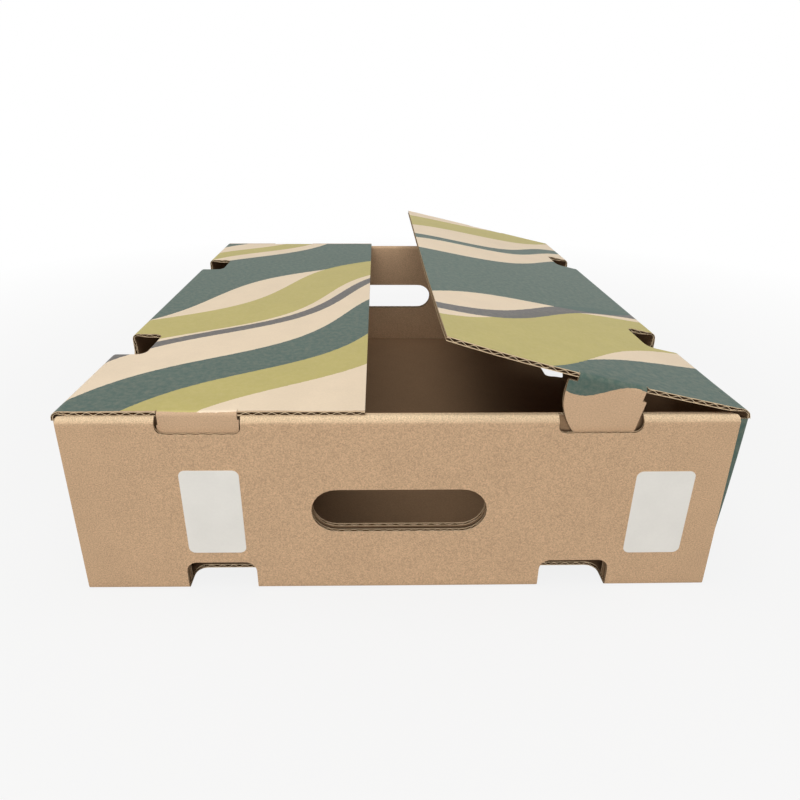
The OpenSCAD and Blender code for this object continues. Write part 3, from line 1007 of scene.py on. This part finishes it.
class FRUITBOX_OT_labels(bpy.types.Operator):
    """Lays the two bare paper labels on the front panel"""
    bl_idname = "fruit_box.labels"
    bl_label = "Lay Labels"

    def execute(self, context):
        radius = context.scene.fruit_box_openings.label_r
        column_count, row_count = LABEL_GRID
        for node in ("left_label", "right_label"):
            low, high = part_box(node)
            ends = (low.x, high.x)
            cuts = [Cut(*ends, level(low.z), lambda u: low.z + rounding(u, *ends, radius, radius), True),
                    Cut(*ends, lambda u: high.z - rounding(u, *ends, radius, radius), level(high.z), True)]
            columns = [np.linspace(*ends, column_count), curve_columns(cuts, count=33)]
            sheet = Sheet(np.concatenate(columns), np.linspace(low.z, high.z, row_count), cuts)
            points, triangles = cut_sheet(sheet)
            x, z = points.T
            out = bowed(x, np.full_like(x, -HALF_L))
            faces = [np.stack([x, y + out, z], -1) for y in (low.y, high.y)]
            piece = closed_slab(node + "_paper", *faces, triangles, np.stack([x, z, 0 * x], -1),
                                [cut_paper(), label_paper(), label_paper()], np.full(len(triangles), 2))
            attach(piece, "tray")
            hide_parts(node)
        return {"FINISHED"}


def white_for_camera(tree, part, lit):
    """The lit shader, with that part of white where the camera, a gloss or a clear surface sees it."""
    rays = add(tree, "LightPath").outputs
    seen = add(tree, "Math", {0: rays["Is Camera Ray"], 1: rays["Is Glossy Ray"]}, operation="MAXIMUM")
    seen = add(tree, "Math", {0: seen, 1: rays["Is Transmission Ray"]}, operation="MAXIMUM")
    mixed = add(tree, "Math", {0: seen, 1: part}, operation="MULTIPLY")
    white = add(tree, "Emission", {"Color": WHITE, "Strength": 1.0})
    return add(tree, "MixShader", {0: mixed, 1: lit, 2: white})


def add_lamp(name, place, aim, size, power):
    """A soft rectangular lamp that faces a point."""
    lamp = bpy.data.lights.new(name, "AREA")
    lamp.shape = "RECTANGLE"
    lamp.size, lamp.size_y = size
    lamp.energy = power
    made = bpy.data.objects.new(name, lamp)
    made.location = place
    made.rotation_euler = (Vector(aim) - Vector(place)).to_track_quat("-Z", "Y").to_euler()
    bpy.context.scene.collection.objects.link(made)


class FRUITBOX_OT_stage(bpy.types.Operator):
    """Sets up the floor, the white surroundings, the soft lamps and the camera"""
    bl_idname = "fruit_box.stage"
    bl_label = "Set Stage"

    def execute(self, context):
        scene, stage = context.scene, context.scene.fruit_box_stage
        mesh = bpy.data.meshes.new("studio_floor")
        signs = ((-1, -1), (1, -1), (1, 1), (-1, 1))
        corners = [(x * stage.floor_half, y * stage.floor_half, -stage.floor_gap) for x, y in signs]
        mesh.from_pydata(corners, [], [(0, 1, 2, 3)])
        floor = bpy.data.objects.new("studio_floor", mesh)
        scene.collection.objects.link(floor)
        paint = bpy.data.materials.new("studio_white")
        paint.use_nodes = True
        tree = paint.node_tree
        tree.nodes.clear()
        lit = add(tree, "BsdfDiffuse", {"Color": (*scene.fruit_box_colours.floor, 1.0)})
        away = add(tree, "VectorMath", {0: add(tree, "TexCoord").outputs["Object"]}, operation="LENGTH")
        glow = add(tree, "MapRange", {"Value": away, "From Min": HALF_L,
                                      "From Max": stage.glow_reach * HALF_L,
                                      "To Min": stage.floor_glow, "To Max": 1.0})
        add(tree, "OutputMaterial", {"Surface": white_for_camera(tree, glow, lit)})
        mesh.materials.append(paint)

        world = bpy.data.worlds.new("studio_light")
        scene.world = world
        world.use_nodes = True
        tree = world.node_tree
        tree.nodes.clear()
        lit = add(tree, "Background", {"Color": WHITE, "Strength": stage.ambient})
        add(tree, "OutputWorld", {"Surface": white_for_camera(tree, 1.0, lit)})

        add_lamp("key_lamp", stage.key_place, stage.lamp_aim, stage.key_size, stage.key_power)
        add_lamp("fill_lamp", stage.fill_place, stage.lamp_aim, stage.fill_size, stage.fill_power)

        lens = bpy.data.cameras.new("photo_camera")
        lens.lens = stage.lens
        lens.sensor_width = SENSOR_MM
        lens.shift_x, lens.shift_y = stage.shift
        lens.clip_start = NEAREST_SEEN
        camera = bpy.data.objects.new("photo_camera", lens)
        scene.collection.objects.link(camera)
        yaw = Matrix.Rotation(-stage.camera_yaw, 4, "Z")
        pitch = Matrix.Rotation(QUARTER - stage.camera_pitch, 4, "X")
        roll = Matrix.Rotation(-stage.camera_roll, 4, "Z")
        camera.matrix_world = Matrix.Translation(stage.camera_place) @ yaw @ pitch @ roll
        scene.camera = camera
        scene.view_settings.view_transform = "Standard"
        return {"FINISHED"}


class FRUITBOX_PT_sidebar(bpy.types.Panel):
    """Lists what builds the fruit box, and its settings"""
    bl_label = "Fruit Box"
    bl_idname = "FRUITBOX_PT_sidebar"
    bl_space_type = "VIEW_3D"
    bl_region_type = "UI"
    bl_category = "Fruit Box"

    def draw(self, context):
        for operator in OPERATORS:
            self.layout.operator(operator.bl_idname)
        for name, group in GROUPS.items():
            section = self.layout.box()
            for prop in group.__annotations__:
                section.prop(getattr(context.scene, name), prop)


OPERATORS = (
    FRUITBOX_OT_tray,
    FRUITBOX_OT_flaps,
    FRUITBOX_OT_creases,
    FRUITBOX_OT_labels,
    FRUITBOX_OT_stage,
)
GROUPS = {
    "fruit_box_board": BoardSettings,
    "fruit_box_openings": OpeningSettings,
    "fruit_box_colours": ColourSettings,
    "fruit_box_stage": StageSettings,
}
CLASSES = (*GROUPS.values(), *OPERATORS, FRUITBOX_PT_sidebar)


def register():
    for cls in CLASSES:
        bpy.utils.register_class(cls)
    for name, group in GROUPS.items():
        setattr(bpy.types.Scene, name, PointerProperty(type=group))


def unregister():
    for name in GROUPS:
        delattr(bpy.types.Scene, name)
    for cls in reversed(CLASSES):
        bpy.utils.unregister_class(cls)


def main():
    """Builds every piece in turn."""
    register()
    bpy.ops.fruit_box.tray()
    bpy.ops.fruit_box.flaps()
    bpy.ops.fruit_box.creases()
    bpy.ops.fruit_box.labels()
    bpy.ops.fruit_box.stage()


if __name__ == "__main__":
    main()
